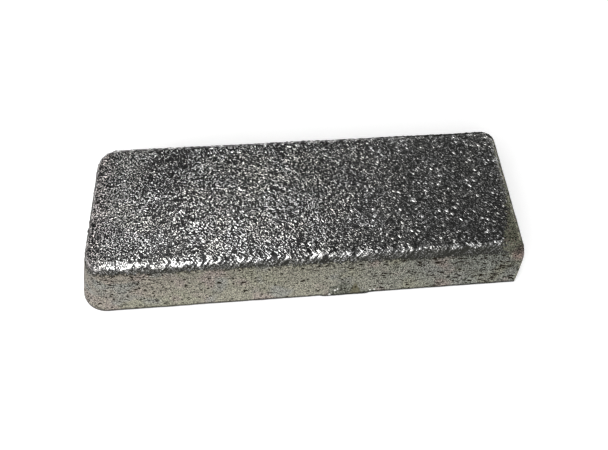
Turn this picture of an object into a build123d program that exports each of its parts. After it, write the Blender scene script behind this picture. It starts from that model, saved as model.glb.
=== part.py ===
from build123d import *
import math
import os

# A small open-mould metal ingot, lying on its pour face as it was tipped out of the mould.
# The narrow face that is up was the mould's floor, and the wide face below was the open side.
# +X runs along the length, -Y is the long side with the broken lip, Z = 0 is the pour face.
# Driving sizes, in millimetres and degrees.

# The mould's floor, which is the ingot's upper face.
floor_length = 228.6
floor_width = 74.4
floor_corner_radii = (12.5, 4.8, 7.0, 11.0)   # front left, front right, back right, back left
floor_edge_radius = 5.0

# How deep the metal stood at the two ends. The mould wasn't level, so the left end is thicker.
depth_left = 35.0
depth_right = 30.0

# The mould's walls flare outwards so that the ingot drops out.
draft_left = 20.0
draft_right = 18.6
draft_sides = 19.1
mould_depth = 42.0
brim_corner_radii = (16.5, 20.0, 16.5, 23.5)  # the same corners, at the mould's brim

# The pour face, with the shallow sink that the metal leaves as it shrinks.
pour_edge_radius = 1.4
sink_length = 188.0
sink_width = 60.0
sink_depth = 1.6

# The stub of a broken overflow lip, which fills out the front pour edge.
lip_left = 9.0
lip_right = 36.0
lip_proud = 0.6
lip_height = 8.5
lip_end_slant = 6.0
lip_corner_radius = 3.0

# Worked out from the sizes above.
tilt = math.degrees(math.asin((depth_left - depth_right) / floor_length))
left_run = depth_left * math.tan(math.radians(draft_left + tilt))
right_run = depth_right * math.tan(math.radians(draft_right - tilt))
middle_depth = (depth_left + depth_right) / 2
side_run = math.tan(math.radians(draft_sides))
floor_plane = Plane(
    origin=((left_run - right_run) / 2, 0, middle_depth),
    x_dir=(math.cos(math.radians(tilt)), 0, -math.sin(math.radians(tilt))),
    z_dir=(math.sin(math.radians(tilt)), 0, math.cos(math.radians(tilt))),
)


def mould_corners(flare_left, flare_right, flare_sides):
    """The four corners of the mould's plan, this far outside its floor."""
    left = -floor_length / 2 - flare_left
    right = floor_length / 2 + flare_right
    side = floor_width / 2 + flare_sides
    return [(left, -side), (right, -side), (right, side), (left, side)]


with BuildPart() as ingot:
    # The cast body: the mould's floor and brim joined by its drafted walls, cut level at the
    # height where the metal stopped.
    with BuildSketch(floor_plane):
        with BuildLine():
            FilletPolyline(*mould_corners(0, 0, 0), radius=floor_corner_radii, close=True)
        make_face()
    brim = mould_corners(
        mould_depth * math.tan(math.radians(draft_left)),
        mould_depth * math.tan(math.radians(draft_right)),
        mould_depth * side_run,
    )
    with BuildSketch(floor_plane.offset(-mould_depth)):
        with BuildLine():
            FilletPolyline(*brim, radius=brim_corner_radii, close=True)
        make_face()
    loft()
    split(bisect_by=Plane.XY, keep=Keep.TOP)

    # The rounded foot of the mould's walls, and the softer edge where the metal's skin met them.
    fillet(ingot.faces().sort_by(Axis.Z)[-1].edges(), radius=floor_edge_radius)
    fillet(ingot.faces().sort_by(Axis.Z)[0].edges(), radius=pour_edge_radius)

    # The broken lip: a low stub that fades into the drafted wall above it.
    pour_front = -(floor_width / 2 + middle_depth * side_run)
    lip_root = pour_front + 1.5 * lip_height
    with BuildSketch(Plane.XY) as lip_plan:
        with BuildLine():
            Polyline(
                (lip_left - lip_end_slant, lip_root),
                (lip_left, pour_front - lip_proud),
                (lip_right, pour_front - lip_proud),
                (lip_right + lip_end_slant, lip_root),
                close=True,
            )
        make_face()
        fillet(lip_plan.vertices().group_by(Axis.Y)[0], radius=lip_corner_radius)
    extrude(amount=lip_height, taper=math.degrees(math.atan(side_run + lip_proud / lip_height)))

    # The sink: a shallow lens turned about a line far below the pour face.
    turn_radius = (sink_width**2 / 4 + sink_depth**2) / (2 * sink_depth)
    turn_height = sink_depth - turn_radius
    with BuildSketch(Plane.XZ):
        with BuildLine():
            ThreePointArc((-sink_length / 2, 0), (0, sink_depth), (sink_length / 2, 0))
            Polyline(
                (sink_length / 2, 0),
                (sink_length / 2, turn_height),
                (-sink_length / 2, turn_height),
                (-sink_length / 2, 0),
            )
        make_face()
    revolve(axis=Axis((0, 0, turn_height), (1, 0, 0)), mode=Mode.SUBTRACT)

ingot.part.label = "ingot"

os.makedirs("parts", exist_ok=True)
export_step(ingot.part, "parts/ingot.step")
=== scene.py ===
import math

import bpy
import numpy as np
from mathutils import Euler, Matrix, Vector


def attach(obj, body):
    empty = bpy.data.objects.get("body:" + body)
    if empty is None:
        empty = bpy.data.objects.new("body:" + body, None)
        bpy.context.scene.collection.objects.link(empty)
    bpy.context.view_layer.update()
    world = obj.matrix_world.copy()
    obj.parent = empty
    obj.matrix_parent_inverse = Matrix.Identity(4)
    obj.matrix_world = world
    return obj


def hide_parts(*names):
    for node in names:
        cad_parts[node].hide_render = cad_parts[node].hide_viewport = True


# A small metal ingot, cast in an open mould and lying on its pour face. Its cast skin is one
# closed mesh on the mould's own lines, with the dimples, pits and torn lip worked into it.

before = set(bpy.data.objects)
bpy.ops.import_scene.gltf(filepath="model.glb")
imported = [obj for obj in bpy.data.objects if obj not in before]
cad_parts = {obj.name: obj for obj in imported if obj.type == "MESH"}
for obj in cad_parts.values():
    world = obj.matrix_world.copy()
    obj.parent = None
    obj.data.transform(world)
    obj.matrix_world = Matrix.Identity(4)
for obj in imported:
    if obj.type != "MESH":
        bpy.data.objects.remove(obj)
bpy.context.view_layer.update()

# Sizes of the form, in millimetres and degrees, as the part has them

FLOOR_LENGTH = 228.6
FLOOR_WIDTH = 74.4
FLOOR_CORNERS = (12.5, 1.3, 7.0, 11.0)    # front left, front right, back right, back left
FLOOR_EDGE = 5.0
DEPTH_LEFT = 35.0
DEPTH_RIGHT = 30.0
DRAFT_LEFT = 20.0
DRAFT_RIGHT = 18.6
DRAFT_SIDES = 19.1
MOULD_DEPTH = 42.0
BRIM_CORNERS = (16.5, 10.2, 16.5, 23.5)   # the same corners, at the mould's brim
POUR_EDGE = 1.4
SINK_LENGTH = 188.0
SINK_WIDTH = 60.0
SINK_DEPTH = 1.6
LIP_LEFT = 9.0
LIP_RIGHT = 36.0
LIP_PROUD = 0.6
LIP_HEIGHT = 8.5

# Only the front right corner differs: it is sharper than the part's, and has been struck flat.
STRUCK_PLACE = (117.45, -48.7, 0.0)       # a point on the flat
STRUCK_TURN = -22.0                       # how far round from +X the flat faces
STRUCK_LEAN = 5.5                         # how far up it faces

MM = 0.001


# Sums on nodes

NOISE_WAY = (1.0, 0.37, 0.71)             # the way in which a seed moves a noise
PIT_WAY = (1.0, 0.3, 0.9)                 # the way in which a seed moves a layer of pits


class Wire:
    """A socket that can be written into a sum."""

    def __init__(self, sheet, socket):
        self.sheet = sheet
        self.socket = socket

    def math(self, operation, *others):
        values = dict(enumerate([self, *others]))
        return self.sheet.node("ShaderNodeMath", {"operation": operation}, values)

    def __add__(self, other):
        return self.math("ADD", other)

    def __sub__(self, other):
        return self.math("SUBTRACT", other)

    def __mul__(self, other):
        return self.math("MULTIPLY", other)

    def __truediv__(self, other):
        return self.math("DIVIDE", other)

    def __rsub__(self, other):
        return self.sheet.node("ShaderNodeMath", {"operation": "SUBTRACT"}, {0: other, 1: self})

    __radd__ = __add__
    __rmul__ = __mul__

    def __neg__(self):
        return 0 - self

    def __abs__(self):
        return self.math("ABSOLUTE")

    def larger(self, other):
        """This or the other, whichever is larger."""
        return self.math("MAXIMUM", other)

    def rise(self, low, high):
        """0 below low, 1 above high and a smooth rise between. With low above high it falls."""
        if low > high:
            return 1 - self.rise(high, low)
        return self.sheet.node(
            "ShaderNodeMapRange",
            {"interpolation_type": "SMOOTHSTEP"},
            {"Value": self, "From Min": low, "From Max": high},
        )


class Sheet:
    """A node tree that is written as sums."""

    def __init__(self, tree):
        self.tree = tree

    def node(self, kind, settings=None, values=None, out=0):
        """A node of this type, with its settings made first and then its sockets' values or links."""
        made = self.tree.nodes.new(kind)
        for name, value in (settings or {}).items():
            if name == "stops":
                self.set_stops(made.color_ramp.elements, value)
            else:
                setattr(made, name, value)
        for name, value in (values or {}).items():
            if isinstance(value, Wire):
                self.tree.links.new(value.socket, made.inputs[name])
            else:
                made.inputs[name].default_value = value
        return Wire(self, made.outputs[out]) if made.outputs else None

    def set_stops(self, ramp, stops):
        """Gives a new ramp, which has two stops, these places and levels of grey instead."""
        ramp.remove(ramp[-1])
        ramp[0].position = stops[0][0]
        for place, _ in stops[1:]:
            ramp.new(place)
        for stop, (_, level) in zip(ramp, stops):
            stop.color = (level, level, level, 1)

    def vector(self, operation, *values, out=0):
        """A sum on vectors."""
        return self.node("ShaderNodeVectorMath", {"operation": operation}, dict(enumerate(values)), out)

    def scale(self, vector, factor):
        """A vector, or a colour, times a number."""
        return self.node("ShaderNodeVectorMath", {"operation": "SCALE"}, {0: vector, "Scale": factor})

    def split(self, vector):
        """The three numbers of a vector."""
        made = self.node("ShaderNodeSeparateXYZ", None, {"Vector": vector}).socket.node
        return [Wire(self, made.outputs[i]) for i in range(3)]

    def mix(self, factor, first, second):
        """A colour between two colours, which are sockets 6 and 7 of the node."""
        values = {"Factor": factor, 6: first, 7: second}
        return self.node("ShaderNodeMix", {"data_type": "RGBA"}, values, out=2)

    def noise(self, place, size, detail=1.0, rough=0.5, twist=0.0, seed=0.0):
        """Smooth noise about 0, with lumps about twice this many metres apart."""
        moved = self.vector("ADD", place, [seed * part for part in NOISE_WAY])
        found = self.node(
            "ShaderNodeTexNoise",
            {"noise_dimensions": "3D"},
            {"Vector": moved, "Scale": 1 / size, "Detail": detail, "Roughness": rough, "Distortion": twist},
        )
        return found - 0.5

    def shaken(self, place, size, reach):
        """A place pushed about, so that what is drawn there gets an uneven outline."""
        push = self.node(
            "ShaderNodeTexNoise",
            {"noise_dimensions": "3D"},
            {"Vector": place, "Scale": 1 / size, "Detail": 1.0},
            out=1,
        )
        return self.vector("ADD", place, self.scale(push, reach))

    def cells(self, place, size):
        """How far it is to the middle of the nearest cell, and two random numbers of that cell."""
        found = self.node("ShaderNodeTexVoronoi", {"feature": "F1"}, {"Vector": place, "Scale": 1 / size})
        first, second, _ = self.split(Wire(self, found.socket.node.outputs["Color"]))
        return found * size, first, second


# The ingot's plain form, ring by ring

ARC_STEPS = 12                            # along half a corner
LONG_STEPS = 348                          # along a straight side
SHORT_STEPS = 92
EDGE_RINGS = 8
WALL_RINGS = 30
FOOT_RINGS = 4
AROUND = 2 * (LONG_STEPS + SHORT_STEPS) + 8 * ARC_STEPS
TIGHTEST = 0.5                            # the smallest radius that a ring's corner keeps
UNDER_SHARE = (0.985, 0.96, 1.0)          # the underside's first ring, as shares of the foot's
UNDER_STEP = 2.0                          # how far past the foot that ring counts as being
UNDER_CREASE = -60.0                      # the rest of the underside lies below every zone
UNDER_COARSER = 4                         # its grid is this much coarser than the upper face's
CREASE = "from_crease"                    # the attribute that says how far above the crease a point is

draft = math.radians(DRAFT_SIDES)
tilt = math.asin((DEPTH_LEFT - DEPTH_RIGHT) / FLOOR_LENGTH)
tilt_cos, tilt_sin = math.cos(tilt), math.sin(tilt)
left_run = DEPTH_LEFT * math.tan(math.radians(DRAFT_LEFT) + tilt)
right_run = DEPTH_RIGHT * math.tan(math.radians(DRAFT_RIGHT) - tilt)
middle_x = (left_run - right_run) / 2
middle_z = (DEPTH_LEFT + DEPTH_RIGHT) / 2
edge_turn = math.pi / 2 - draft
edge_end = FLOOR_EDGE * (1 - math.sin(draft))
struck_turn, struck_lean = math.radians(STRUCK_TURN), math.radians(STRUCK_LEAN)
struck_way = np.array([
    math.cos(struck_lean) * math.cos(struck_turn),
    math.cos(struck_lean) * math.sin(struck_turn),
    math.sin(struck_lean),
])


def plan(left, right, side, corners):
    """Points round a rectangle with four corner radii, from the middle of the front left corner."""
    tips = [(left, -side), (right, -side), (right, side), (left, side)]
    inward = [(1, 1), (-1, 1), (-1, -1), (1, -1)]
    centres = [
        np.array([x + r * a, y + r * b])
        for (x, y), (a, b), r in zip(tips, inward, corners)
    ]

    def on_corner(k, way):
        return centres[k] + corners[k] * np.array([math.cos(way), math.sin(way)])

    points = []
    for k in range(4):
        here, there = k, (k + 1) % 4
        start = math.radians(225 + 90 * k)
        straight = start + math.pi / 4
        first, last = on_corner(here, straight), on_corner(there, straight)
        steps = LONG_STEPS if k % 2 == 0 else SHORT_STEPS
        points += [on_corner(here, start + math.pi / 4 * i / ARC_STEPS) for i in range(ARC_STEPS)]
        points += [first + (last - first) * i / steps for i in range(steps)]
        points += [on_corner(there, straight + math.pi / 4 * i / ARC_STEPS) for i in range(ARC_STEPS)]
    return np.array(points)


def lay(plan_points, depth):
    """From the mould's plan and the depth below its floor to the ingot's own frame."""
    x, y = plan_points[:, 0], plan_points[:, 1]
    along = middle_x + x * tilt_cos - depth * tilt_sin
    up = middle_z - x * tilt_sin - depth * tilt_cos
    return np.stack([along, y, up], 1)


def mould_lines(out):
    """Where each wall line starts on the floor, this far outside the wall, and how it flares."""
    start = plan(
        -FLOOR_LENGTH / 2 - out,
        FLOOR_LENGTH / 2 + out,
        FLOOR_WIDTH / 2 + out,
        [max(r + out, TIGHTEST) for r in FLOOR_CORNERS],
    )
    end = plan(
        -FLOOR_LENGTH / 2 - MOULD_DEPTH * math.tan(math.radians(DRAFT_LEFT)) - out,
        FLOOR_LENGTH / 2 + MOULD_DEPTH * math.tan(math.radians(DRAFT_RIGHT)) + out,
        FLOOR_WIDTH / 2 + MOULD_DEPTH * math.tan(draft) + out,
        [max(r + out, TIGHTEST) for r in BRIM_CORNERS],
    )
    return start, (end - start) / MOULD_DEPTH


def struck(points):
    """Takes the front right corner back to the flat where it has been struck."""
    over = np.maximum((points - STRUCK_PLACE) @ struck_way, 0)
    return points - over[:, None] * struck_way


def wall_ring(depth, out):
    """A ring at this depth, this far outside the mould's wall."""
    start, flare = mould_lines(out)
    depth = np.broadcast_to(depth, AROUND)
    return struck(lay(start + flare * depth[:, None], depth))


def depth_at(height, out):
    """How deep each wall line is where it stands this high above the pour face."""
    start, flare = mould_lines(out)
    return (middle_z - height - start[:, 0] * tilt_sin) / (tilt_cos + flare[:, 0] * tilt_sin)


def edge_rings():
    """Rings down the rounded edge, each with how far above the crease below it they are."""
    for i in range(EDGE_RINGS + 1):
        turn = edge_turn * i / EDGE_RINGS
        depth = FLOOR_EDGE * (1 - math.cos(turn))
        reach = FLOOR_EDGE * math.sin(turn) - edge_end / math.cos(draft)
        yield wall_ring(depth, reach - depth * math.tan(draft)), FLOOR_EDGE * (edge_turn - turn)


def wall_rings():
    """Rings down the drafted wall, from the crease to where the foot is rounded."""
    foot_start = depth_at(POUR_EDGE * (1 + math.sin(draft)), 0.0)
    for i in range(1, WALL_RINGS + 1):
        depth = edge_end + (foot_start - edge_end) * i / WALL_RINGS
        yield wall_ring(depth, 0.0), (edge_end - depth) / math.cos(draft)


def foot_rings(wall_end):
    """Rings round the foot, with half the points. wall_end says where the wall's last ring is."""
    for i in range(1, FOOT_RINGS + 1):
        turn = draft - (draft + math.pi / 2) * i / FOOT_RINGS
        height = POUR_EDGE * (1 + math.sin(turn))
        reach = POUR_EDGE * (math.cos(turn) - 1 / math.cos(draft))
        out = reach - (POUR_EDGE - height) * math.tan(draft)
        yield wall_ring(depth_at(height, out), out)[::2], wall_end[::2] - POUR_EDGE * (draft - turn)


def sink_height(x, y):
    """The shallow sink in the pour face."""
    across = (SINK_WIDTH**2 / 4 + SINK_DEPTH**2) / (2 * SINK_DEPTH)
    along = (SINK_LENGTH**2 / 4 + SINK_DEPTH**2) / (2 * SINK_DEPTH)
    axis = SINK_DEPTH - across
    crown = np.sqrt(np.maximum(along**2 - x**2, 0)) - (along - SINK_DEPTH)
    height = axis + np.sqrt(np.maximum((crown - axis) ** 2 - y**2, 0))
    return np.where((np.abs(x) < SINK_LENGTH / 2) & (height > 0), height, 0)


def patch(ring, long_steps, short_steps):
    """Points that fill a ring, drawn between its four sides, as a grid."""
    n, m = long_steps, short_steps
    front = ring[: n + 1]
    right = ring[n : n + m + 1]
    back = ring[n + m : 2 * n + m + 1][::-1]
    left = np.vstack([ring[2 * n + m :], ring[:1]])[::-1]
    u = np.linspace(0, 1, n + 1)[:, None, None]
    v = np.linspace(0, 1, m + 1)[None, :, None]
    grid = (1 - v) * front[:, None] + v * back[:, None] + (1 - u) * left[None] + u * right[None]
    grid -= (1 - u) * (1 - v) * ring[0] + u * (1 - v) * ring[n]
    grid -= u * v * ring[n + m] + (1 - u) * v * ring[2 * n + m]
    return grid


def top_crease(rim, grid):
    """How far above the crease the upper face's inner points are."""
    middle = rim.mean(0)
    half = np.abs(rim - middle).max(0)
    gap = half[:2] - np.abs(grid[1:-1, 1:-1].reshape(-1, 3)[:, :2] - middle[:2])
    return FLOOR_EDGE * edge_turn + gap.min(1)


class Shell:
    """Points, how far above the crease each is, and faces, gathered from the top down."""

    def __init__(self):
        self.points = []
        self.creases = []
        self.faces = []
        self.count = 0

    def add(self, points, crease):
        """Keeps these points and gives their numbers."""
        self.points.append(points)
        self.creases.append(np.broadcast_to(crease, len(points)))
        self.count += len(points)
        return np.arange(self.count - len(points), self.count)

    def strip(self, upper, lower):
        """Quads between two rings, or the joint to a ring with half as many points."""
        if len(upper) == len(lower):
            a, b = np.roll(upper, -1), np.roll(lower, -1)
            self.faces += np.stack([upper, lower, b, a], 1).tolist()
            return
        first, middle = upper[0::2], upper[1::2]
        after, low_after = np.roll(first, -1), np.roll(lower, -1)
        self.faces += np.stack([first, lower, middle], 1).tolist()
        self.faces += np.stack([middle, lower, low_after, after], 1).tolist()

    def fill(self, ring, grid, crease, up):
        """Closes a ring with a grid whose outermost points are the ring's own."""
        n, m = grid.shape[0] - 1, grid.shape[1] - 1
        index = np.zeros((n + 1, m + 1), int)
        index[1:n, 1:m] = self.add(grid[1:n, 1:m].reshape(-1, 3), crease).reshape(n - 1, m - 1)
        index[:, 0] = ring[: n + 1]
        index[n, :] = ring[n : n + m + 1]
        index[:, m] = ring[n + m : 2 * n + m + 1][::-1]
        index[0, :] = np.append(ring[2 * n + m :], ring[0])[::-1]
        quads = np.stack([index[:-1, :-1], index[1:, :-1], index[1:, 1:], index[:-1, 1:]], 2)
        quads = quads.reshape(-1, 4)
        self.faces += (quads if up else quads[:, ::-1]).tolist()

    def as_object(self, name):
        """What was gathered, in metres, with how far above the crease each point is."""
        mesh = bpy.data.meshes.new("ingot_form")
        mesh.from_pydata((np.vstack(self.points) * MM).tolist(), [], self.faces)
        mesh.polygons.foreach_set("use_smooth", np.ones(len(mesh.polygons), bool))
        kept = mesh.attributes.new(CREASE, "FLOAT", "POINT")
        kept.data.foreach_set("value", (np.concatenate(self.creases) * MM).astype(np.float32))
        mesh.update()
        made = bpy.data.objects.new(name, mesh)
        bpy.context.scene.collection.objects.link(made)
        return made


def plain_ingot():
    """The ingot without its skin, as one closed mesh."""
    rings = [*edge_rings(), *wall_rings()]
    rings += foot_rings(rings[-1][1])
    foot, foot_crease = rings[-1]
    rings.append((foot[::2] * UNDER_SHARE, foot_crease[::2] - UNDER_STEP))
    shell = Shell()
    indices = [shell.add(ring, crease) for ring, crease in rings]
    for upper, lower in zip(indices, indices[1:]):
        shell.strip(upper, lower)

    rim, under_rim = rings[0][0], rings[-1][0]
    long_steps, short_steps = LONG_STEPS + 2 * ARC_STEPS, SHORT_STEPS + 2 * ARC_STEPS
    top = patch(rim, long_steps, short_steps)
    shell.fill(indices[0], top, top_crease(rim, top), True)
    under = patch(under_rim, long_steps // UNDER_COARSER, short_steps // UNDER_COARSER)
    under[..., 2] = sink_height(under[..., 0], under[..., 1])
    shell.fill(indices[-1], under, UNDER_CREASE, False)
    return shell.as_object("cast_ingot")


# The zones of the casting, in metres

# A pair says where a zone starts and where it is whole. The crease is where the rounded edge
# meets the wall, and what lies below it, on the wall, is negative.
FRONT = (0.030, 0.036)                    # towards the front, which is -Y
BACK = (0.030, 0.034)                     # towards the back
LEFT_END = (0.107, 0.111)                 # towards the left, which is -X
DRAWN = (-0.100, -0.045)                  # along X, where the skin's lumps get drawn out
SPARSE = (0.005, 0.075)                   # along X, where the skin's bright spots get few
RIGHT = (-0.02, 0.11)                     # along X, where the walls get cooler
SLITTED = (0.060, 0.095)                  # along X, where the front wall has slits
HIGH_WALL = (-0.030, -0.002)              # above the crease
FOOT = (0.0032, 0.0022)                   # above the pour face: the painted contact shadow along the foot
FOOT_FRAYED = 0.0012

RAGGED_SIZE = 0.0024
FRAYED_SIZE = 0.0010
SKIN = (-0.0026, -0.0018)                 # above the crease
SKIN_RAGGED = 0.0056                      # how far the ragged noise moves the skin's edge
SKIN_FRAYED = 0.0044                      # how far the frayed noise moves it
SKIN_HANG = 0.0022                        # how much lower it hangs at the front left corner
HANG_LEFT = (0.103, 0.111)                # that corner, towards the left
HANG_FRONT = (0.014, 0.030)               # and towards the front

SEAM = (-0.0038, -0.0026)                 # above the crease
SEAM_TOP = 0.0006                         # how high the seam reaches at the left of the front
SEAM_SOFTNESS = 0.0004
SEAM_MIDDLE = (-0.09, 0.0)                # along X, where it starts to reach higher
SEAM_MIDDLE_MORE = 0.0012
SEAM_RIGHT = (0.03, 0.08)                 # along X, where it starts to reach higher still
SEAM_RIGHT_MORE = 0.0016
SEAM_AWAY_MORE = 0.0018                   # how much higher it reaches at the left end and the back
SEAM_BARE_LESS = 0.30                     # how much of it is gone where the end is bare

RIM = (0.0078, 0.0040)                    # above the crease
BRINK = (0.0042, 0.0024)                  # above the crease: painted shade along the back and left edges
BRINK_FRAYED = 0.004
BRINK_HANG_LESS = 0.7                     # how much of it is gone where the skin hangs lower
ABOVE_RIM = (0.018, 0.010)                # above the crease
ABOVE_RIM_FRONT = (0.012, 0.020)          # towards the front

BARE = (0.1112, 0.1150)                   # along X, where the end has lost its skin
BARE_LOW = (-0.0060, -0.0025)             # above the crease, how far down the wall it reaches
BARE_RAGGED = 0.010
BARE_FRAYED = 0.006
BARE_LEAN = 0.06                          # how its edge leans across the upper face
BARE_SLANT = 0.27                         # how it cuts across the front right corner
BARE_SLANT_FROM = -0.0160                 # along Y, where that starts
BARE_SLANT_LOW = (-0.0035, 0.0005)        # above the crease, how far down it goes on
STRUCK = (0.1255, 0.1262)                 # along the way that the struck flat faces
STRUCK_FRAYED = 0.0012
STAIN_PLACE = (0.1165, -0.0398, 0.0235)   # the brownish stain at the struck corner
STAIN = (0.0075, 0.0035)                  # from the stain's middle
STAIN_FRAYED = 0.003

LIP_EDGE = 0.0015                         # how softly the lip's stub ends on each side
LIP_LEAN = 0.42                           # how much narrower it gets with its height
SCAR_START = 0.0125
SCAR_LENGTH = 0.0285
SCAR_HEIGHT = 0.0128
SCAR_SKYLINE = [                          # how high the torn place reaches, along its length
    (0.0, 0.05),
    (0.06, 0.68),
    (0.24, 0.74),
    (0.35, 1.00),
    (0.46, 0.66),
    (0.56, 0.84),
    (0.66, 0.42),
    (0.80, 0.34),
    (1.0, 0.20),
]
SCAR_ROUGH_SIZE = 0.0030
SCAR_ROUGH_ALONG = 0.05                   # as a share of its length
SCAR_ROUGH_UP = 0.004
SCAR_EDGE = 0.0009
SCAR_END = 0.02                           # as a share of its length
FACET_TIP = (0.0284, 0.0122)              # x and z of the tip of the smooth facet in the torn place
FACET_LEAN = 0.34
FACET_EDGE = 0.0006


class Zones:
    """Which part of the casting each point is in: 0 to 1 for each zone."""

    def __init__(self, sheet, place, crease):
        self.sheet = sheet
        self.place = place
        self.crease = crease              # how far above the crease, or below it where negative
        self.x, self.y, self.z = sheet.split(place)
        self.ragged = self.noise(RAGGED_SIZE, detail=2.5, rough=0.6, seed=3.1)
        self.frayed = self.noise(FRAYED_SIZE, seed=6.6)
        self.front = (-self.y).rise(*FRONT)
        self.drawn = self.x.rise(*DRAWN)
        self.sparse = self.x.rise(*SPARSE)
        self.right = self.x.rise(*RIGHT)
        self.slitted = self.x.rise(*SLITTED) * self.front
        self.high = crease.rise(*HIGH_WALL)
        # the foot's painted contact shadow
        self.foot = (self.z + self.frayed * FOOT_FRAYED).rise(*FOOT)
        self.find_bare_end()
        self.find_skin()
        self.find_lip()

    def noise(self, size, **kind):
        return self.sheet.noise(self.place, size, **kind)

    def find_bare_end(self):
        """Where the skin has come off: the right end, the struck corner and the stain."""
        slant = (BARE_SLANT_FROM - self.y).larger(0.0)
        slant = slant * self.crease.rise(*BARE_SLANT_LOW) * BARE_SLANT
        ragged = self.ragged * BARE_RAGGED
        edge = self.x - self.y * BARE_LEAN + slant + ragged + self.frayed * BARE_FRAYED
        bare = edge.rise(*BARE) * self.crease.rise(*BARE_LOW)
        way_x, way_y, way_z = struck_way
        out = self.x * way_x + self.y * way_y + self.z * way_z
        self.struck = (out + self.frayed * STRUCK_FRAYED).rise(*STRUCK)
        to_stain = self.sheet.vector("DISTANCE", self.place, STAIN_PLACE, out=1)
        self.stain = (to_stain + self.frayed * STAIN_FRAYED).rise(*STAIN)
        self.bare_end = bare.larger(self.struck).larger(self.stain)

    def find_skin(self):
        """The skin, its seam, painted dark as the shade in the crease, and the bands along the rounded
        edge, one of them painted shade.
        """
        hang = (-self.x).rise(*HANG_LEFT) * (-self.y).rise(*HANG_FRONT)
        away = (-self.x).rise(*LEFT_END).larger(self.y.rise(*BACK))
        inside = self.crease + self.ragged * SKIN_RAGGED + self.frayed * SKIN_FRAYED + hang * SKIN_HANG
        self.skin = inside.rise(*SKIN) * (1 - self.bare_end)
        self.wall = 1 - self.skin
        seam_top = SEAM_TOP + self.x.rise(*SEAM_MIDDLE) * SEAM_MIDDLE_MORE
        seam_top = seam_top + self.x.rise(*SEAM_RIGHT) * SEAM_RIGHT_MORE + away * SEAM_AWAY_MORE
        self.seam = inside.rise(*SEAM) * (seam_top - inside).rise(-SEAM_SOFTNESS, SEAM_SOFTNESS)
        self.seam = self.seam * (1 - self.bare_end * SEAM_BARE_LESS)
        self.rim = self.crease.rise(*RIM) * self.skin
        shaded_brink = (self.crease + self.frayed * BRINK_FRAYED).rise(*BRINK)
        self.shaded_brink = away * shaded_brink * self.skin * (1 - hang * BRINK_HANG_LESS)
        above = self.crease.rise(*ABOVE_RIM) * (1 - self.rim) * (1 - self.drawn)
        self.above_rim = above * (-self.y).rise(*ABOVE_RIM_FRONT)

    def find_lip(self):
        """The lip's stub, the torn place on it and the smooth facet in that."""
        middle = (LIP_LEFT + LIP_RIGHT) / 2 * MM
        half = (LIP_RIGHT - LIP_LEFT) / 2 * MM
        across = half - self.z * LIP_LEAN - abs(self.x - middle)
        below_top = (1 - self.z / (LIP_HEIGHT * MM)).larger(0.0)
        self.lip_stand = across.rise(-LIP_EDGE, LIP_EDGE) * self.front * below_top
        rough = self.noise(SCAR_ROUGH_SIZE, detail=3.0, rough=0.65, seed=8.3)
        along = (self.x - SCAR_START) / SCAR_LENGTH
        skyline = self.sheet.node(
            "ShaderNodeValToRGB",
            {"stops": SCAR_SKYLINE},
            {"Fac": along + rough * SCAR_ROUGH_ALONG},
        )
        below = skyline * SCAR_HEIGHT + rough * SCAR_ROUGH_UP - self.z
        self.lip = below.rise(0.0, SCAR_EDGE) * self.front
        self.lip = self.lip * along.rise(-SCAR_END, SCAR_END) * along.rise(1 + SCAR_END, 1 - SCAR_END)
        tip_x, tip_z = FACET_TIP
        facet = (tip_z - self.z) * FACET_LEAN - abs(self.x - tip_x)
        self.facet = facet.rise(0.0, FACET_EDGE) * self.lip


# The relief, shared by the form and the finish, in metres

PEBBLE_SIZE = 0.0009
GRIT_SIZE = 0.00055
GRAIN_SIZE = 0.00055
COBBLE_SIZE = 0.0021
NUB_SIZE = 0.0020
NUB = (0.14, 0.26)                        # where a nub starts and is whole, in its noise
DRAWN_WAY = math.radians(40)              # the lumps lie drawn out this far clockwise from +X
DRAWN_SHAPE = (0.46, 1.25, 1.1)           # how fast their noise runs that way, across it and up
CHEVRON_SIZE = 0.0013
CHEVRON_MIDDLE = 0.0042                   # how far above the crease the strokes bend
CHEVRON_BEND = 0.85
CHEVRON_RUN = 0.22                        # how fast their noise runs along a stroke
FULL_NOISE = 3.0                          # brings a noise to about -1 to 1

SPARK_CELL = 0.00135
SPARK_SIZE = 0.00048
SPARK_SHARE = 0.29                        # the share of the cells that hold one
SPARK_SHAKE = (0.5, 0.45)                 # the size and reach of the shaking, as shares of the cell
SPARK_LEAST = 0.5                         # of its size, what the smallest has
SPARK_SPREAD = 0.9                        # and what the largest has on top of that

PIT_SHAKE = (0.45, 0.7)                   # as for the sparks, and so are the next two
PIT_LEAST = 0.5
PIT_SPREAD = 0.8
PIT_EDGE = (1.0, 0.75)                    # shares of a pit's radius
PIT_FOOT = (0.0015, 0.0035)               # there are none below this height
SMALL_PITS = {"cell": 0.0016, "radius": 0.00064, "squash": (0.8, 1.0, 1.5), "seed": 2.3}
LARGE_PITS = {"cell": 0.0031, "radius": 0.00105, "squash": (0.7, 1.0, 1.8), "seed": 8.9}
SLITS = {"cell": 0.0021, "radius": 0.00085, "squash": (0.42, 1.0, 2.0), "seed": 5.2}
PITTED = 0.18                             # the share of the cells with a pit, low on the walls
PITTED_HIGH = 0.32                        # what it gains below the skin
PITTED_RIGHT = 0.36                       # what it gains to the right on the front wall
PITTED_LEFT = 0.50                        # and to the left
LARGE_SHARE = 0.70                        # of the small pits' share
SLIT_SHARE = 0.55

TORN_SIZE = 0.0026
WAVE_SIZE = 0.030
UNEVEN_SIZE = 0.007
FOOT_FADE = (0.0002, 0.0016)              # above the pour face, where the relief starts
SKIN_SIZES = {
    "Pebble height": 0.00028,
    "Cobble height": 0.00030,
    "Nub height": 0.00035,
    "Chevron height": 0.00022,
    "Seam depth": 0.00030,
    "Pit depth": 0.00035,
    "Lip stand": LIP_PROUD * MM,
    "Lip roughness": 0.00090,
    "Waviness": 0.00045,
    "Unevenness": 0.00040,
}


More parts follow.
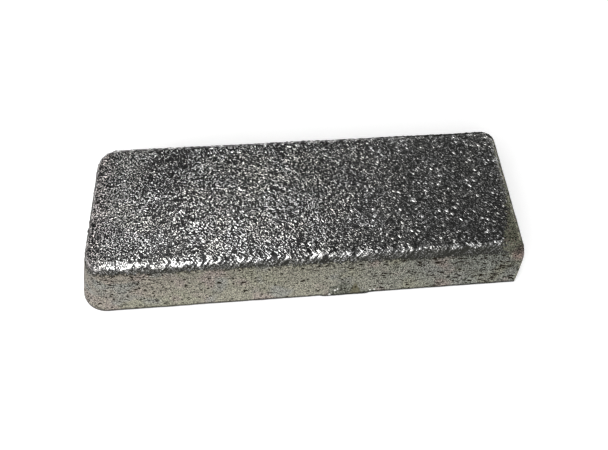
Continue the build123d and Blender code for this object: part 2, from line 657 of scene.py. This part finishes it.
def drawn_out(zones):
    """Coordinates in which round lumps come out drawn towards the front right."""
    turned = zones.sheet.node(
        "ShaderNodeVectorRotate",
        {"rotation_type": "Z_AXIS"},
        {"Vector": zones.place, "Center": (0, 0, 0), "Angle": DRAWN_WAY},
    )
    return zones.sheet.vector("MULTIPLY", turned, DRAWN_SHAPE)


def lumps(zones, size, seed):
    """Noise that is round at the left end and drawn out from the middle on."""
    kind = {"rough": 0.4, "twist": 0.25, "seed": seed}
    round_ones = zones.noise(size, **kind)
    long_ones = zones.sheet.noise(drawn_out(zones), size, **kind)
    return round_ones + zones.drawn * (long_ones - round_ones)


def pebbles(zones):
    """The floor skin's relief, about -1 to 1."""
    return lumps(zones, PEBBLE_SIZE, seed=7.7) * FULL_NOISE


def cobbles(zones):
    """The larger lumps along the rounded edge, about -1 to 1."""
    return zones.noise(COBBLE_SIZE, seed=2.9) * zones.rim * FULL_NOISE


def nubs(zones):
    """The few steep lumps that stand out at the right end, 0 to 1."""
    return zones.noise(NUB_SIZE, seed=4.4).rise(*NUB) * zones.sparse * zones.skin


def chevrons(zones):
    """Strokes that lie across the rounded edge and point to the right, about -1 to 1."""
    bend = abs(zones.crease - CHEVRON_MIDDLE) * CHEVRON_BEND
    across = zones.sheet.node(
        "ShaderNodeCombineXYZ",
        None,
        {"X": zones.x + bend, "Y": zones.crease * CHEVRON_RUN, "Z": 0.0},
    )
    return zones.sheet.noise(across, CHEVRON_SIZE, twist=0.2, seed=1.7) * zones.rim * FULL_NOISE


def sparks(zones):
    """The few small uneven lumps that catch the light at the right end, 0 to 1."""
    size, reach = SPARK_SHAKE
    place = zones.sheet.shaken(drawn_out(zones), SPARK_CELL * size, SPARK_CELL * reach)
    far, pick, girth = zones.sheet.cells(place, SPARK_CELL)
    share = far / (girth * girth * SPARK_SIZE * SPARK_SPREAD + SPARK_SIZE * SPARK_LEAST)
    dome = (1 - share * share).larger(0.0) * pick.math("LESS_THAN", SPARK_SHARE)
    return dome * zones.sparse * zones.skin


def pits(zones, filled, cell, radius, squash, seed):
    """Irregular pits in this share of the cells, wider than they are high: 1 in their middle."""
    sheet = zones.sheet
    size, reach = PIT_SHAKE
    place = sheet.shaken(sheet.vector("MULTIPLY", zones.place, squash), cell * size, cell * reach)
    place = sheet.vector("ADD", place, [seed * part for part in PIT_WAY])
    far, pick, girth = sheet.cells(place, cell)
    share = far / (girth * radius * PIT_SPREAD + radius * PIT_LEAST)
    return share.rise(*PIT_EDGE) * pick.math("LESS_THAN", filled)


def wall_pits(zones):
    """The walls' pits, closest together below the skin and towards the ends of the front wall."""
    ends = (zones.right * PITTED_RIGHT + (1 - zones.drawn) * PITTED_LEFT) * zones.front
    filled = zones.high * PITTED_HIGH + ends + PITTED
    found = pits(zones, filled, **SMALL_PITS)
    found = found.larger(pits(zones, filled * LARGE_SHARE, **LARGE_PITS))
    found = found.larger(pits(zones, zones.slitted * SLIT_SHARE, **SLITS))
    return found * zones.wall * (1 - zones.bare_end) * zones.z.rise(*PIT_FOOT)


def cast_skin():
    """The node tree that works the skin into the plain form."""
    tree = bpy.data.node_groups.new("cast_skin", "GeometryNodeTree")
    face = tree.interface
    face.new_socket("Geometry", in_out="OUTPUT", socket_type="NodeSocketGeometry")
    face.new_socket("Geometry", in_out="INPUT", socket_type="NodeSocketGeometry")
    for name, value in SKIN_SIZES.items():
        made = face.new_socket(name, in_out="INPUT", socket_type="NodeSocketFloat")
        made.default_value = value
    face.new_socket("Finish", in_out="INPUT", socket_type="NodeSocketMaterial")
    sheet = Sheet(tree)
    entry = sheet.node("NodeGroupInput").socket.node
    given = {s.name: Wire(sheet, s) for s in entry.outputs if s.name}
    place = sheet.node("GeometryNodeInputPosition")
    normal = sheet.node("GeometryNodeInputNormal")
    crease = sheet.node("GeometryNodeInputNamedAttribute", {"data_type": "FLOAT"}, {"Name": CREASE})
    zones = Zones(sheet, place, crease)

    height = zones.skin * pebbles(zones) * given["Pebble height"]
    height = height + cobbles(zones) * given["Cobble height"]
    height = height + nubs(zones) * given["Nub height"]
    height = height + chevrons(zones) * zones.drawn * given["Chevron height"]
    height = height - zones.seam * given["Seam depth"]
    height = height - wall_pits(zones) * given["Pit depth"]
    torn = zones.noise(TORN_SIZE, detail=2.0, rough=0.6, seed=5.9)
    height = height + zones.lip * torn * given["Lip roughness"]
    height = height + zones.noise(WAVE_SIZE, seed=1.3) * given["Waviness"]
    height = height + zones.noise(UNEVEN_SIZE, seed=6.1) * given["Unevenness"]
    height = height * zones.z.rise(*FOOT_FADE)

    stand = sheet.node("ShaderNodeCombineXYZ", None, {"Y": -(zones.lip_stand * given["Lip stand"])})
    moved = sheet.vector("ADD", sheet.scale(normal, height), stand)
    placed = sheet.node("GeometryNodeSetPosition", None, {"Geometry": given["Geometry"], "Offset": moved})
    real = sheet.node("GeometryNodeRealizeInstances", None, {"Geometry": placed})
    done = sheet.node("GeometryNodeSetMaterial", None, {"Geometry": real, "Material": given["Finish"]})
    sheet.node("NodeGroupOutput", None, {"Geometry": done})
    return tree


# The finish: its colours, with painted glints and painted shade among them, and how much each zone and each
# kind of relief changes them

VALLEY = (0.03, 0.03, 0.03, 1)
VALLEY_RIGHT = (0.095, 0.096, 0.093, 1)
CREST_WARM = (0.87, 0.86, 0.825, 1)
CREST_COOL = (0.85, 0.85, 0.85, 1)
CREST_PINK = (0.86, 0.785, 0.765, 1)
WALL_LEFT = (0.268, 0.245, 0.206, 1)
WALL_MIDDLE = (0.252, 0.243, 0.196, 1)
WALL_RIGHT = (0.230, 0.238, 0.210, 1)
WALL_PATCHES = [                          # size, seed, where it starts and is whole, and colour
    (0.020, 2.2, (0.0, 0.20), (0.246, 0.242, 0.188, 1)),
    (0.015, 4.6, (0.02, 0.18), (0.272, 0.238, 0.210, 1)),
    (0.014, 9.4, (0.05, 0.20), (0.242, 0.242, 0.218, 1)),
]
# the pits are painted dark as the shade in them
PIT_SHADE = (0.020, 0.016, 0.012, 1)
# painted shade in the crease at the skin's edge
SEAM_SHADE = (0.030, 0.030, 0.026, 1)
# painted shade along the back and left top edges
BRINK_SHADE = (0.060, 0.050, 0.046, 1)
BARE_OLIVE = (0.215, 0.218, 0.162, 1)
BARE_PINK = (0.235, 0.185, 0.158, 1)
TORN_DARK = (0.055, 0.056, 0.044, 1)
TORN_BRIGHT = (0.27, 0.275, 0.23, 1)
TORN_OLIVE = (0.125, 0.115, 0.068, 1)
# fresh metal in the torn place, painted bright as a glint
FRESH_METAL_GLINT = (0.80, 0.80, 0.76, 1)

PEBBLE_LIGHT = 0.32                       # what each kind of relief adds to the skin's brightness, painted as glints
GRIT_LIGHT = 3.2
NUB_LIGHT = 0.6
CHEVRON_LIGHT = 1.3
RIM_GLINT_LIGHT = 0.8
CLUMP_SIZE = 0.0036
CLUMP = (-0.04, 0.08)
CLUMP_HIGHLIGHT = 0.38                        # the painted highlight that the clumps on the rim add at its left end
CLUMP_DRAWN_LESS = 0.10                   # how much less from the middle on
CLUMP_SPARSE_MORE = 0.12                  # how much more at the right end
CLUMP_DARK = 0.10                         # what the rim's painted highlight loses between its clumps
LEFT_DARK = 0.035                         # what the skin loses at its left end
ABOVE_RIM_DARK = 0.08                     # what it loses above the rim at the front left
SPARSE_SHADE = 0.16                        # and at its right end, painted shade with fewer glints
CLOUD_SIZE = 0.011
CLOUD_LIGHT = 0.20
WEAR_AND_GLINT = (0.0, 0.46)                        # how bright a ridge starts to show metal, and is bare: partly wear, partly painted glints
# how bright a spark dome is painted, as a glint
SPARK_GLINT = (0.0, 0.3)
CREST_SIZE = 0.016
CREST_COOLER = (-0.15, 0.15)
PINK_END = (0.097, 0.110)                 # towards the left
PINK_SHARE = 0.7

WALL_TONE = 1.02
WALL_GRAIN = 6.5
WALL_HIGH_SHADE = 0.22                     # painted shade: what the walls lose below the skin
WALL_RIGHT_SHADE = 0.22                    # and towards the right, also painted shade
BARE_TONE = 1.08
BARE_GRAIN = 10.0
BARE_SPECK_DARK = 0.35
BARE_STRUCK_DARK = 0.52
BARE_STAIN_DARK = 0.42
SPECK_SIZE = 0.0016
PINK_SPECK = (0.06, 0.20)
DARK_SPECK = (-0.10, -0.20)
SPECKLE_SIZE = 0.00085
SPECKLE_GRIT = 0.5
SPECKLE = (-0.08, 0.16)
FACET_COVER = 0.75
FOOT_SHADOW_DARK = 0.80
BRINK_COVER = 0.7
SEAM_COVER = 0.97
SEAM_GRIT = 3.6                           # how strongly bright grit shows through the seam
SEAM_GRIT_SPARSE_LESS = 1.8               # how much less at the right end
SEAM_GRIT_FROM = 0.10

WALL_ROUGHNESS = 0.44
SKIN_SMOOTHER = 0.29
SEAM_ROUGHER = 0.30
BUMP_HEIGHT = 0.00021
LIP_BUMP = 2.0                            # how high each kind of relief stands, against the grit's 1
WALL_BUMP = 0.5
PIT_BUMP = 0.7
SPARK_BUMP = 2.5
RIM_GLINT_BUMP = 2.0

FRESH_GLINT_SPOTS = [                           # x, z and radius of the bright spots in the torn place: partly fresh metal, partly painted glints
    (0.0141, 0.0026, 0.0009),
    (0.0171, 0.0054, 0.0007),
    (0.0186, 0.0062, 0.0006),
    (0.0326, 0.0053, 0.0004),
    (0.0367, 0.0033, 0.0006),
    (0.0391, 0.0034, 0.0007),
]
RIM_GLINT_SPOTS = [                             # x, y and radius of the painted glints at the right of the rim
    (0.0733, -0.0367, 0.0011),
    (0.0754, -0.0365, 0.0010),
    (0.0928, -0.0363, 0.0008),
    (0.0988, -0.0354, 0.0013),
    (0.1030, -0.0353, 0.0011),
    (0.1049, -0.0343, 0.0010),
]
SPOT_MIDDLE = 0.6                         # how much of a spot is whole


def new_material(name):
    """An empty material and the sheet for its nodes."""
    material = bpy.data.materials.new(name)
    material.use_nodes = True
    material.node_tree.nodes.clear()
    return material, Sheet(material.node_tree)


def spots(across, up, places, ragged):
    """1 at a few uneven spots, each with its place in two directions and its radius."""
    found = None
    for at_across, at_up, radius in places:
        beside, above = across - at_across, up - at_up
        far = (beside * beside + above * above).math("SQRT") + ragged * radius
        spot = far.rise(radius, radius * SPOT_MIDDLE)
        found = spot if found is None else found.larger(spot)
    return found


def skin_colour(zones, grit, rim_glints, domes):
    """The dark pebbled skin, bright where its ridges show wear and where glints are painted on them."""
    mix = zones.sheet.mix
    clumps = zones.noise(CLUMP_SIZE, seed=2.6).rise(*CLUMP)
    clump_highlight = CLUMP_HIGHLIGHT - zones.drawn * CLUMP_DRAWN_LESS + zones.sparse * CLUMP_SPARSE_MORE
    bright = pebbles(zones) * PEBBLE_LIGHT + grit * GRIT_LIGHT + nubs(zones) * NUB_LIGHT
    bright = bright + zones.rim * (clumps * clump_highlight - CLUMP_DARK) - (1 - zones.sparse) * LEFT_DARK
    bright = bright - zones.above_rim * ABOVE_RIM_DARK + chevrons(zones) * zones.drawn * CHEVRON_LIGHT
    bright = bright + rim_glints * RIM_GLINT_LIGHT + zones.noise(CLOUD_SIZE, seed=1.1) * CLOUD_LIGHT
    wear_and_glint = (bright - zones.sparse * SPARSE_SHADE).rise(*WEAR_AND_GLINT).larger(domes.rise(*SPARK_GLINT))
    crest = mix(zones.noise(CREST_SIZE, seed=3.7).rise(*CREST_COOLER), CREST_WARM, CREST_COOL)
    crest = mix((-zones.x).rise(*PINK_END) * PINK_SHARE, crest, CREST_PINK)
    return mix(wear_and_glint, mix(zones.sparse, VALLEY, VALLEY_RIGHT), crest)


def wall_colour(zones, grain):
    """The smooth grey wall, warm at the left and cooler to the right, with faint patches, and painted shade
    high up and towards the right.
    """
    mix = zones.sheet.mix
    wall = mix(zones.drawn, WALL_LEFT, WALL_MIDDLE)
    wall = mix(zones.right, wall, WALL_RIGHT)
    for size, seed, patch_range, colour in WALL_PATCHES:
        wall = mix(zones.noise(size, seed=seed).rise(*patch_range), wall, colour)
    tone = WALL_TONE + grain * WALL_GRAIN - zones.high * WALL_HIGH_SHADE - zones.right * WALL_RIGHT_SHADE
    return zones.sheet.scale(wall, tone)


def bare_colour(zones, grain):
    """The olive metal of the bare end, with pinkish specks, the struck flat and the stain."""
    mix = zones.sheet.mix
    specks = zones.noise(SPECK_SIZE, seed=7.3)
    bare = mix(specks.rise(*PINK_SPECK), BARE_OLIVE, BARE_PINK)
    bare = mix(zones.stain, bare, BARE_PINK)
    tone = BARE_TONE + grain * BARE_GRAIN - specks.rise(*DARK_SPECK) * BARE_SPECK_DARK
    tone = tone - zones.struck * BARE_STRUCK_DARK - zones.stain * BARE_STAIN_DARK
    return zones.sheet.scale(bare, tone)


def torn_colour(zones, grit):
    """The torn place: dark and speckled, with an olive facet."""
    mix = zones.sheet.mix
    speckle = zones.noise(SPECKLE_SIZE, seed=4.2) + grit * SPECKLE_GRIT
    torn = mix(speckle.rise(*SPECKLE), TORN_DARK, TORN_BRIGHT)
    return mix(zones.facet * FACET_COVER, torn, TORN_OLIVE)


def cast_metal():
    """As-cast grey metal: a dark pebbled floor skin with painted glints, and smooth, pitted, warm grey
    walls with painted shade.
    """
    material, sheet = new_material("cast_metal")
    place = sheet.node("ShaderNodeTexCoord", out="Object")
    crease = sheet.node("ShaderNodeAttribute", {"attribute_name": CREASE}, out="Fac")
    zones = Zones(sheet, place, crease)
    grit = lumps(zones, GRIT_SIZE, seed=5.5)
    grain = zones.noise(GRAIN_SIZE, detail=2.0, rough=0.6, seed=1.9)
    domes = sparks(zones)
    pitted = wall_pits(zones)
    # painted glints on the rim, with a little bump
    rim_glints = spots(zones.x, zones.y, RIM_GLINT_SPOTS, grit) * zones.skin
    fresh_glints = spots(zones.x, zones.z, FRESH_GLINT_SPOTS, grit) * zones.front

    wall = sheet.mix(zones.bare_end, wall_colour(zones, grain), bare_colour(zones, grain))
    wall = sheet.mix(zones.lip, wall, torn_colour(zones, grit))
    # the pits are painted dark as the shade in them
    wall = sheet.mix(pitted, wall, PIT_SHADE)
    wall = sheet.mix(fresh_glints, wall, FRESH_METAL_GLINT)
    # a painted contact shadow along the foot
    wall = sheet.scale(wall, 1.0 - zones.foot * FOOT_SHADOW_DARK)
    colour = sheet.mix(zones.skin, wall, skin_colour(zones, grit, rim_glints, domes))
    # painted shade along the back and left top edges
    colour = sheet.mix(zones.shaded_brink * BRINK_COVER, colour, BRINK_SHADE)
    through = grit * (SEAM_GRIT - zones.sparse * SEAM_GRIT_SPARSE_LESS) - SEAM_GRIT_FROM
    # the seam is painted dark as the shade in the crease, with bright grit showing through
    colour = sheet.mix(zones.seam * (SEAM_COVER - through.larger(0.0)), colour, SEAM_SHADE)

    relief = grit * (zones.skin + zones.lip * LIP_BUMP) + grain * zones.wall * WALL_BUMP
    relief = relief - pitted * PIT_BUMP + domes * SPARK_BUMP + fresh_glints + rim_glints * RIM_GLINT_BUMP
    bump = sheet.node("ShaderNodeBump", None, {"Strength": 1.0, "Distance": BUMP_HEIGHT, "Height": relief})
    shader = sheet.node(
        "ShaderNodeBsdfPrincipled",
        None,
        {
            "Base Color": colour,
            "Roughness": WALL_ROUGHNESS - zones.skin * SKIN_SMOOTHER + zones.seam * SEAM_ROUGHER,
            "Metallic": 1.0 - zones.seam.larger(pitted * zones.wall),
            "Specular IOR Level": 0.0,
            "Normal": bump,
        },
    )
    sheet.node("ShaderNodeOutputMaterial", None, {"Surface": shader})
    return material


def dress(form, finish):
    """Works the skin into the form and leaves a plain mesh."""
    tree = cast_skin()
    work = form.modifiers.new("skin", "NODES")
    work.node_group = tree
    named = {s.name: s.identifier for s in tree.interface.items_tree if s.in_out == "INPUT"}
    work[named["Finish"]] = finish
    bpy.context.view_layer.update()
    graph = bpy.context.evaluated_depsgraph_get()
    worked = bpy.data.meshes.new_from_object(form.evaluated_get(graph))
    form.modifiers.clear()
    plain = form.data
    form.data = worked
    bpy.data.meshes.remove(plain)
    worked.name = "cast_ingot"
    return form


ingot = dress(plain_ingot(), cast_metal())
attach(ingot, "root")
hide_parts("ingot")


# The table, the light and the camera

WHITE = (1, 1, 1, 1)
TABLE_SIZE = 6.0
TABLE_COLOUR = (0.86, 0.86, 0.86, 1)
TABLE_GLOW = 0.40                         # how much of its white the table gives near the ingot
TABLE_EDGE = (0.5, 1.5)                   # how far out it turns all white, in metres
ROOM_LEVEL = 0.16
SWEEP_TOP = (0.50, 0.25)                  # where the white sweep ends, as a share of straight up


def seen_rays(sheet):
    """1 for what the camera sees, straight, through glass or in metal, and 0 for plain light."""
    paths = sheet.node("ShaderNodeLightPath").socket.node.outputs
    seen = Wire(sheet, paths["Is Camera Ray"])
    for name in ("Is Glossy Ray", "Is Transmission Ray"):
        seen = seen.larger(Wire(sheet, paths[name]))
    return seen


def table_top():
    """A plain white table that keeps the ingot's shadow and reads as white where nothing shades it."""
    bpy.ops.mesh.primitive_plane_add(size=TABLE_SIZE, location=(0, 0, 0))
    top = bpy.context.object
    top.name = "table_top"
    material, sheet = new_material("table_white")
    place = sheet.node("ShaderNodeTexCoord", out="Object")
    far = sheet.vector("LENGTH", place, out=1).rise(*TABLE_EDGE)
    glow = seen_rays(sheet) * (far * (1 - TABLE_GLOW) + TABLE_GLOW)
    shader = sheet.node(
        "ShaderNodeBsdfPrincipled",
        None,
        {
            "Base Color": TABLE_COLOUR,
            "Roughness": 1.0,
            "Specular IOR Level": 0.0,
            "Emission Color": sheet.scale(WHITE[:3], glow),
            "Emission Strength": 1.0,
        },
    )
    sheet.node("ShaderNodeOutputMaterial", None, {"Surface": shader})
    top.data.materials.append(material)


def room():
    """A dim studio with a white sweep behind the table, which gives no light of its own."""
    world = bpy.data.worlds.new("room")
    bpy.context.scene.world = world
    world.use_nodes = True
    world.node_tree.nodes.clear()
    sheet = Sheet(world.node_tree)
    way = sheet.node("ShaderNodeTexCoord", out="Generated")
    _, _, up = sheet.split(way)
    sweep = up.rise(*SWEEP_TOP) * seen_rays(sheet)
    back = sheet.node(
        "ShaderNodeBackground",
        None,
        {"Color": WHITE, "Strength": sweep * (1 - ROOM_LEVEL) + ROOM_LEVEL},
    )
    sheet.node("ShaderNodeOutputWorld", None, {"Surface": back})


def lamp(name, way, distance, size, power):
    """A square soft light that shines at the ingot from that way."""
    data = bpy.data.lights.new(name, "AREA")
    data.shape = "SQUARE"
    data.size = size
    data.energy = power
    made = bpy.data.objects.new(name, data)
    bpy.context.scene.collection.objects.link(made)
    aim = Vector(way).normalized()
    made.location = aim * distance
    made.rotation_euler = aim.to_track_quat("Z", "Y").to_euler()
    made.visible_camera = False


table_top()
room()
lamp("window", way=(-0.44, -0.63, 0.62), distance=3.0, size=3.6, power=125.0)
lamp("sky", way=(-0.20, 0.25, 0.945), distance=3.0, size=0.9, power=15.0)

CAMERA_PLACE = (0.00055, -0.13937, 0.26868)
CAMERA_TURN = (27.009, 1.353, -3.486)     # in degrees
FOCAL_PIXELS = 500                        # the lens, in pixels of a picture that is 608 wide
PHOTO_WIDTH = 608
SENSOR_WIDTH = 36.0

camera = bpy.data.objects.new("camera", bpy.data.cameras.new("camera"))
bpy.context.scene.collection.objects.link(camera)
camera.data.sensor_width = SENSOR_WIDTH
camera.data.lens = SENSOR_WIDTH * (FOCAL_PIXELS / PHOTO_WIDTH)
camera.data.clip_start = 0.01
camera.location = CAMERA_PLACE
camera.rotation_euler = Euler([math.radians(a) for a in CAMERA_TURN])
bpy.context.scene.camera = camera
bpy.context.scene.view_settings.view_transform = "Standard"
